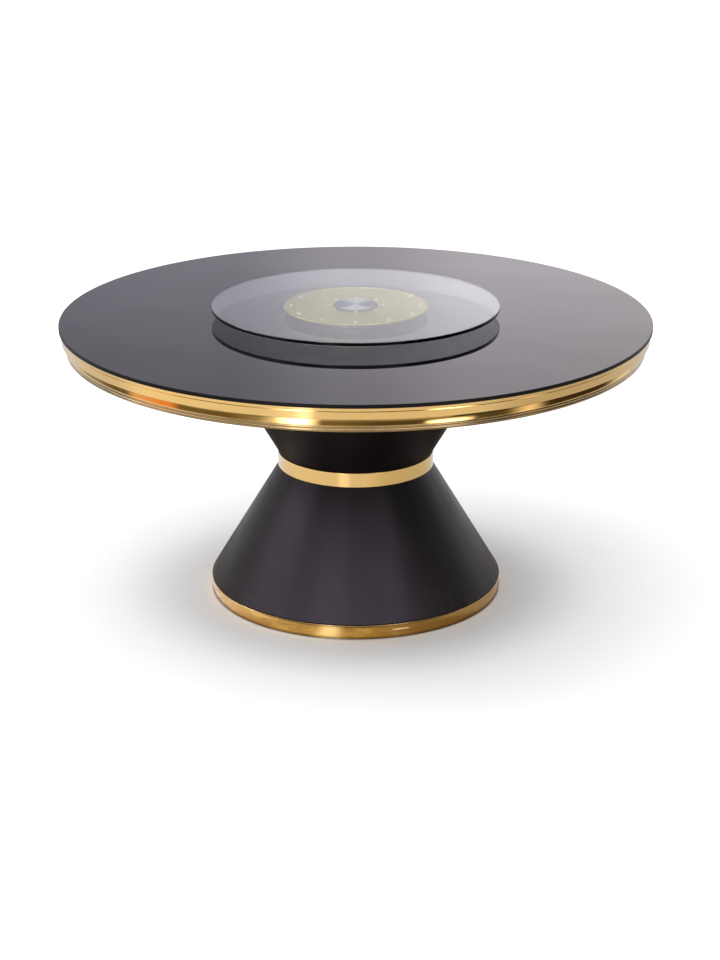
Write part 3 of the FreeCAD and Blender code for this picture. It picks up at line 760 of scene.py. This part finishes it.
def pad_of(name, node, body, slot, radius, ring, count, low, thick, ease, turn=0.0):
    """Round pads with eased edges, in a ring."""
    made = turned(
        name,
        [(0, 0), (radius - ease, 0), (radius, ease), (radius, thick - ease), (radius - ease, thick), (0, thick)],
        {1: (ease, 1), 3: (ease, 1)},
        low,
        body,
        slot,
        around=48,
        step=18.0,
        copies=circle_of(ring, count, turn),
    )
    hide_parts(node)
    return made


for pads in (
    pad_of("clear_disc_buttons", "clear_buttons", "turntable", "clear_rubber", 5.0, 76.0, 8, 800.55, 4.35, 0.9),
    pad_of("clear_disc_bumpers", "clear_bumpers", "turntable", "clear_rubber", 6.0, 174.0, 12, 800.55, 4.35, 1.1),
):
    pads.visible_shadow = False
pad_of("race_rubber_feet", "race_feet", "turntable_base", "rubber", 7.0, 151.0, 8, 780.0, 2.5, 0.5)
pad_of("floor_rubber_pads", "foot_pads", "table", "rubber", 22.0, 350.0, 8, 0.0, 3.0, 0.8)


# ---------------------------------------------------------------- carried-over nodes

slot_of = {entry["node"]: entry["material_slot"] for entry in frame["record"]["subparts"]}
for n, o in frame["nodes"].items():
    while len(o.data.materials) < 1:
        o.data.materials.append(None)
    for i in range(len(o.data.materials)):
        o.data.materials[i] = MAKE[slot_of[n]]


# ---------------------------------------------------------------- stage


def staged(name, verts, faces, material):
    mesh = bpy.data.meshes.new(name)
    mesh.from_pydata(verts, [], faces)
    mesh.update()
    mesh.materials.append(material)
    made = bpy.data.objects.new(name, mesh)
    scene.collection.objects.link(made)
    return made


def floor_paint():
    """Pale seamless floor. Where the object mirrors it, it is warm and dim close to the pedestal, darker still right at
    the base band, dimmer to the sides, and has a soft streak of light running out towards the left of the camera and a
    short bar of light by the base: painted shade and painted light in its reflections. To the camera it glows a little,
    least by the pedestal, which pales the table's shadow, and to bounced light it is painted darker under and round the
    table.
    """
    s = Shade("studio_floor")
    x, y, z, r, way = s.round_about()
    mottle = s.noise(1.3, 3.0, 0.5)
    pale = s.mix(mottle, (0.915, 0.912, 0.910), (0.94, 0.94, 0.94))
    grain = s.noise(3.2, 4.0, 0.6)
    patch = s.noise(10.0, 4.0, 0.6, twist=0.5)
    close = s.mix(s.spread(patch, 0.38, 0.62), (0.90, 0.78, 0.46), (0.58, 0.41, 0.17))
    brown = s.mix(s.spread(grain, 0.35, 0.65), (0.60, 0.41, 0.25), (0.34, 0.22, 0.12))
    close = s.mix(s.spread(x, 0.03, 0.22), close, (0.45, 0.34, 0.17))
    near = s.mix(s.spread(r, 0.56, 0.66), close, brown)
    outer = s.spread(r, 1.45, 2.1)
    side = s.spread(s.maths("MULTIPLY_ADD", x, 0.35, y), -2.0, -0.6, 0.0, 0.34)
    dim = s.maths("SUBTRACT", 1.0, s.maths("MULTIPLY", side, outer))
    middle = s.mix(s.spread(x, 0.20, 0.90), (0.86, 0.86, 0.86), (0.72, 0.72, 0.64))
    tone = s.mix(outer, middle, (0.91, 0.91, 0.91))
    far = s.add("ShaderNodeMix", data_type="RGBA", blend_type="MULTIPLY")
    far.inputs[0].default_value = 1.0
    s.join(pale, far.inputs[6])
    s.join(tone, far.inputs[7])
    path = s.add("ShaderNodeLightPath")
    mirrored = path.outputs["Is Glossy Ray"]

    def scaled(colour, by):
        n = s.add("ShaderNodeVectorMath", operation="SCALE")
        s.put(n, 0, colour)
        s.put(n, "Scale", by)
        return n.outputs[0]

    def summed(a, b):
        n = s.add("ShaderNodeVectorMath", operation="ADD")
        s.put(n, 0, a)
        s.put(n, 1, b)
        return n.outputs[0]

    seen_in = scaled(s.mix(s.spread(r, 1.12, 0.80), far.outputs[2], near), dim)
    across = s.maths("ABSOLUTE", s.maths("SUBTRACT", s.maths("MULTIPLY_ADD", y, -0.32, x), 0.054))
    breadth = s.spread(r, 0.42, 1.2, 0.040, 0.20)
    streak = s.maths("MULTIPLY", s.spread(s.maths("DIVIDE", across, breadth), s.spread(r, 0.5, 1.0, 1.45, 1.15), s.spread(r, 0.5, 1.0, 0.10, 0.45)), s.spread(y, -0.25, -0.34))
    power = s.maths("MULTIPLY", streak, s.maths("ADD", s.spread(r, 0.55, 0.95, 0.85, 0.27), s.spread(r, 1.6, 2.4, 0.0, 0.28)))
    # painted highlight: a short bar of light on the floor, seen mirrored in the base band
    bar = s.maths("MULTIPLY", s.spread(s.maths("ABSOLUTE", s.maths("SUBTRACT", r, 0.474)), 0.011, 0.005), s.maths("MULTIPLY", s.spread(x, 0.128, 0.140), s.spread(x, 0.196, 0.184)))
    power = s.maths("MULTIPLY_ADD", s.maths("MULTIPLY", bar, s.spread(y, -0.20, -0.30)), 0.95, power)
    warm = s.add("ShaderNodeValToRGB")
    warm.color_ramp.interpolation = "EASE"
    stops = [(0.0, (0.32, 0.35, 0.44)), (0.12, (0.13, 0.14, 0.14)), (0.36, (0.07, 0.07, 0.04)), (0.55, (0.06, 0.05, 0.03)), (0.72, (0.0, 0.0, 0.0)), (0.90, (0.0, 0.0, 0.0)), (1.0, (0.12, 0.13, 0.16))]
    while len(warm.color_ramp.elements) < len(stops):
        warm.color_ramp.elements.new(0.5)
    for element, (where, colour) in zip(warm.color_ramp.elements, stops):
        element.position = where
        element.color = rgb(*colour)
    s.put(warm, 0, s.spread(x, -0.39, 0.39, smooth=False))
    light = scaled(warm.outputs[0], s.spread(r, 0.60, 0.52))
    cool = s.add("ShaderNodeCombineXYZ")
    for i, v in enumerate((0.94, 1.0, 1.18)):
        cool.inputs[i].default_value = v
    under = s.maths("ADD", s.spread(r, 0.53, 0.62, 1.0, 0.35), s.spread(r, 0.92, 1.06, 0.0, 0.65))
    # painted shade: the mirrored floor darker right where the base band meets it
    touch = s.maths("MULTIPLY", under, s.spread(r, 0.405, 0.424, 0.30, 1.0))
    light = scaled(summed(light, scaled(cool.outputs[0], power)), s.maths("MULTIPLY", mirrored, touch))
    even = s.add("ShaderNodeCombineXYZ")
    for i in range(3):
        even.inputs[i].default_value = 1.0
    dimmed = s.maths("MULTIPLY_ADD", mirrored, s.maths("SUBTRACT", dim, 1.0), 1.0)
    light = summed(light, scaled(even.outputs[0], s.maths("MULTIPLY", s.spread(r, 0.9, 6.0, 0.0, 0.22), dimmed)))
    # painted light: to the camera the floor glows a little, least by the pedestal, paling the table's shadow
    paler = s.maths("MULTIPLY", s.spread(r, 0.40, 0.70, 0.04, 0.25), path.outputs["Is Camera Ray"])
    light = summed(light, scaled(even.outputs[0], paler))
    # painted shade: for bounced light the floor is darker under and round the table
    bounced = s.mix(s.maths("MULTIPLY", path.outputs["Is Diffuse Ray"], s.spread(r, 2.4, 1.2)), pale, (0.42, 0.41, 0.40))
    s.set(
        Base_Color=s.mix(mirrored, bounced, scaled(seen_in, touch)),
        Roughness=0.62,
        IOR=1.3,
        Emission_Color=light,
        Emission_Strength=1.0,
    )
    return s.mat


count = 96
reach = 40.0
floor = staged(
    "studio_floor",
    [(reach * math.cos(2 * math.pi * i / count), reach * math.sin(2 * math.pi * i / count), 0.0) for i in range(count)],
    [tuple(range(count))],
    floor_paint(),
)


def ramp_of(tree, value, steps, ease="EASE"):
    ramp = tree.nodes.new("ShaderNodeValToRGB")
    ramp.color_ramp.interpolation = ease
    while len(ramp.color_ramp.elements) < len(steps):
        ramp.color_ramp.elements.new(0.5)
    for element, (where, colour) in zip(ramp.color_ramp.elements, steps):
        element.position = where
        element.color = (*colour, 1.0)
    tree.links.new(value, ramp.inputs[0])
    return ramp.outputs[0]


def ranged(tree, value, low, high):
    span = tree.nodes.new("ShaderNodeMapRange")
    span.inputs["From Min"].default_value = low
    span.inputs["From Max"].default_value = high
    tree.links.new(value, span.inputs["Value"])
    return span.outputs[0]


def multiplied(tree, a, b):
    m = tree.nodes.new("ShaderNodeMix")
    m.data_type = "RGBA"
    m.blend_type = "MULTIPLY"
    m.inputs[0].default_value = 1.0
    tree.links.new(a, m.inputs[6])
    tree.links.new(b, m.inputs[7])
    return m.outputs[2]


def glow_of(name, first, last, low, high, round_steps, up_steps, strength, clear=False, fade=None):
    """Light from a curved card: one ramp round the table, in degrees from the camera's side, times one up its height. A clear card shows what is behind it, and fade is the height above which any other thins out."""
    mat = bpy.data.materials.new(name)
    mat.use_nodes = True
    tree = mat.node_tree
    tree.nodes.clear()
    out = tree.nodes.new("ShaderNodeOutputMaterial")
    emit = tree.nodes.new("ShaderNodeEmission")
    coord = tree.nodes.new("ShaderNodeTexCoord")
    parts = tree.nodes.new("ShaderNodeSeparateXYZ")
    tree.links.new(coord.outputs["Object"], parts.inputs[0])
    flip = tree.nodes.new("ShaderNodeMath")
    flip.operation = "MULTIPLY"
    flip.inputs[1].default_value = -1.0
    tree.links.new(parts.outputs["Y"], flip.inputs[0])
    turn = tree.nodes.new("ShaderNodeMath")
    turn.operation = "ARCTAN2"
    tree.links.new(parts.outputs["X"], turn.inputs[0])
    tree.links.new(flip.outputs[0], turn.inputs[1])
    about = ranged(tree, turn.outputs[0], math.radians(first), math.radians(last))
    steps = [((a - first) / (last - first), c) for a, c in round_steps]
    colour = multiplied(
        tree,
        ramp_of(tree, about, steps),
        ramp_of(tree, ranged(tree, parts.outputs["Z"], low, high), up_steps),
    )
    tree.links.new(colour, emit.inputs["Color"])
    emit.inputs["Strength"].default_value = strength
    if clear:
        through = tree.nodes.new("ShaderNodeBsdfTransparent")
        both = tree.nodes.new("ShaderNodeAddShader")
        tree.links.new(emit.outputs[0], both.inputs[0])
        tree.links.new(through.outputs[0], both.inputs[1])
        tree.links.new(both.outputs[0], out.inputs["Surface"])
    elif fade:
        through = tree.nodes.new("ShaderNodeBsdfTransparent")
        both = tree.nodes.new("ShaderNodeMixShader")
        tree.links.new(ranged(tree, parts.outputs["Z"], fade, high), both.inputs[0])
        tree.links.new(emit.outputs[0], both.inputs[1])
        tree.links.new(through.outputs[0], both.inputs[2])
        tree.links.new(both.outputs[0], out.inputs["Surface"])
    else:
        tree.links.new(emit.outputs[0], out.inputs["Surface"])
    return mat


def grey(v):
    return (v, v, v)


def card(name, radius, first, last, low, high, round_steps, up_steps, strength, clear=False, fade=None, count=96):
    """A curved card round the table that only shows in mirrors, azimuth 0 being the camera's side."""
    material = glow_of(name, first, last, low, high, round_steps, up_steps, strength, clear, fade)
    verts, faces = [], []
    for i in range(count + 1):
        a = math.radians(first + (last - first) * i / count)
        for z in (low, high):
            verts.append((radius * math.sin(a), -radius * math.cos(a), z))
    for i in range(count):
        faces.append((2 * i, 2 * i + 2, 2 * i + 3, 2 * i + 1))
    made = staged(name, verts, faces, material)
    made.visible_camera = False
    made.visible_diffuse = False
    made.visible_shadow = False
    made.visible_transmission = False
    return made


card(
    "dark_screen",
    4.2,
    -132.0,
    121.0,
    0.0,
    1.52,
    [
        (-132, (0.62, 0.60, 0.54)),
        (-110, (0.34, 0.33, 0.30)),
        (-96, (0.16, 0.14, 0.10)),
        (-89, (0.15, 0.16, 0.15)),
        (-84, (0.90, 0.60, 0.38)),
        (-68, (0.98, 0.42, 0.15)),
        (-62, (0.20, 0.16, 0.09)),
        (-46, (0.17, 0.14, 0.07)),
        (-30, (0.38, 0.36, 0.28)),
        (-8, (0.20, 0.17, 0.09)),
        (12, (0.09, 0.08, 0.04)),
        (52, (0.10, 0.085, 0.05)),
        (62, (1.15, 1.05, 0.90)),
        (71, (0.05, 0.04, 0.02)),
        (98, (0.05, 0.035, 0.02)),
        (113, (0.78, 0.80, 0.78)),
    ],
    [(0.0, grey(1.0)), (0.17, grey(0.7)), (0.85, grey(0.7)), (1.0, grey(0.8))],
    1.4,
    fade=1.12,
)
card(
    "left_card",
    3.0,
    -32.0,
    -8.0,
    0.0,
    1.62,
    [(-32, grey(0.0)), (-27, grey(0.08)), (-23, grey(0.55)), (-20, grey(1.0)), (-17, grey(1.0)), (-13.5, grey(0.25)), (-11, grey(0.0)), (-8, grey(0.0))],
    [(0.0, grey(0.06)), (0.08, grey(0.06)), (0.22, grey(1.0)), (0.72, grey(1.0)), (1.0, grey(0.0))],
    5.5,
    clear=True,
)
card(
    "right_card",
    3.0,
    21.0,
    40.0,
    0.0,
    1.05,
    [(21, grey(0.0)), (26, grey(0.9)), (30, grey(1.0)), (34, grey(0.8)), (40, grey(0.0))],
    [(0.0, grey(0.0)), (0.16, grey(0.0)), (0.34, grey(0.9)), (0.58, grey(0.9)), (0.8, grey(0.25)), (1.0, grey(0.0))],
    5.0,
    clear=True,
)


def softbox(name, at, aim, wide, high, radiance, colour=(1.0, 1.0, 1.0), mirrored=True):
    data = bpy.data.lights.new(name, "AREA")
    data.shape = "RECTANGLE"
    data.size = wide
    data.size_y = high
    data.energy = radiance * math.pi * wide * high
    data.color = colour
    made = bpy.data.objects.new(name, data)
    scene.collection.objects.link(made)
    made.location = at
    made.rotation_mode = "QUATERNION"
    made.rotation_quaternion = (Vector(aim) - Vector(at)).to_track_quat("-Z", "Y")
    made.visible_camera = False
    made.visible_glossy = mirrored
    return made


softbox("overhead", (0.0, -0.4, 4.3), (0.0, 0.0, 0.6), 3.4, 3.4, 1.5, mirrored=False)
softbox("left_box", (-3.45, 0.85, 2.95), (0.0, 0.0, 0.5), 1.7, 1.2, 7.0)
softbox("right_box", (3.4, 1.4, 2.9), (0.0, 0.0, 0.6), 1.2, 1.9, 0.8)


def sky():
    """Soft even light from all round. In mirrors it is dim on the camera's side and bright behind the table."""
    world = bpy.data.worlds.new("studio")
    scene.world = world
    world.use_nodes = True
    tree = world.node_tree
    tree.nodes.clear()
    out = tree.nodes.new("ShaderNodeOutputWorld")
    fill = tree.nodes.new("ShaderNodeBackground")
    fill.inputs["Color"].default_value = (0.985, 0.985, 1.0, 1.0)
    fill.inputs["Strength"].default_value = 0.82
    shown = tree.nodes.new("ShaderNodeBackground")
    shown.inputs["Color"].default_value = (1.0, 1.0, 1.0, 1.0)
    shown.inputs["Strength"].default_value = 1.06
    mirror = tree.nodes.new("ShaderNodeBackground")
    mirror.inputs["Strength"].default_value = 1.5
    coord = tree.nodes.new("ShaderNodeTexCoord")
    parts = tree.nodes.new("ShaderNodeSeparateXYZ")
    tree.links.new(coord.outputs["Generated"], parts.inputs[0])
    back = multiplied(
        tree,
        ramp_of(
            tree,
            ranged(tree, parts.outputs["X"], -0.2, 0.9),
            [
                (0.0, (0.325, 0.315, 0.365)),
                (0.127, (0.42, 0.40, 0.46)),
                (0.182, (0.67, 0.635, 0.69)),
                (0.236, (0.93, 0.88, 0.93)),
                (0.364, (0.98, 0.925, 0.96)),
                (0.60, (0.85, 0.81, 0.83)),
                (0.82, (0.50, 0.48, 0.48)),
                (1.0, (0.26, 0.25, 0.25)),
            ],
        ),
        ramp_of(
            tree,
            ranged(tree, parts.outputs["Z"], 0.0, 1.0),
            [(0.0, grey(1.1)), (0.225, grey(1.1)), (0.31, grey(0.80)), (1.0, grey(0.70))],
        ),
    )
    front = multiplied(
        tree,
        ramp_of(
            tree,
            ranged(tree, parts.outputs["X"], -1.0, 1.0),
            [
                (0.0, grey(2.5)),
                (0.07, grey(2.8)),
                (0.12, grey(1.35)),
                (0.19, grey(0.75)),
                (0.33, grey(1.8)),
                (0.42, grey(1.35)),
                (0.52, grey(1.0)),
                (0.70, grey(1.55)),
                (0.77, grey(1.75)),
                (0.815, grey(0.12)),
                (0.90, grey(0.03)),
                (1.0, grey(0.08)),
            ],
        ),
        ramp_of(
            tree,
            ranged(tree, parts.outputs["Z"], 0.0, 1.0),
            [(0.0, (0.22, 0.20, 0.17)), (0.22, (0.20, 0.19, 0.17)), (0.36, (0.28, 0.27, 0.26)), (0.50, (0.90, 0.86, 0.90)), (0.60, (1.10, 1.05, 1.10)), (1.0, (0.82, 0.82, 0.84))],
        ),
    )
    side = ranged(tree, parts.outputs["Y"], -0.25, 0.45)
    both = tree.nodes.new("ShaderNodeMix")
    both.data_type = "RGBA"
    tree.links.new(side, both.inputs[0])
    tree.links.new(front, both.inputs[6])
    tree.links.new(back, both.inputs[7])
    tree.links.new(both.outputs[2], mirror.inputs["Color"])
    path = tree.nodes.new("ShaderNodeLightPath")
    first = tree.nodes.new("ShaderNodeMixShader")
    tree.links.new(path.outputs["Is Glossy Ray"], first.inputs[0])
    tree.links.new(fill.outputs[0], first.inputs[1])
    tree.links.new(mirror.outputs[0], first.inputs[2])
    second = tree.nodes.new("ShaderNodeMixShader")
    tree.links.new(path.outputs["Is Camera Ray"], second.inputs[0])
    tree.links.new(first.outputs[0], second.inputs[1])
    tree.links.new(shown.outputs[0], second.inputs[2])
    tree.links.new(second.outputs[0], out.inputs["Surface"])


sky()
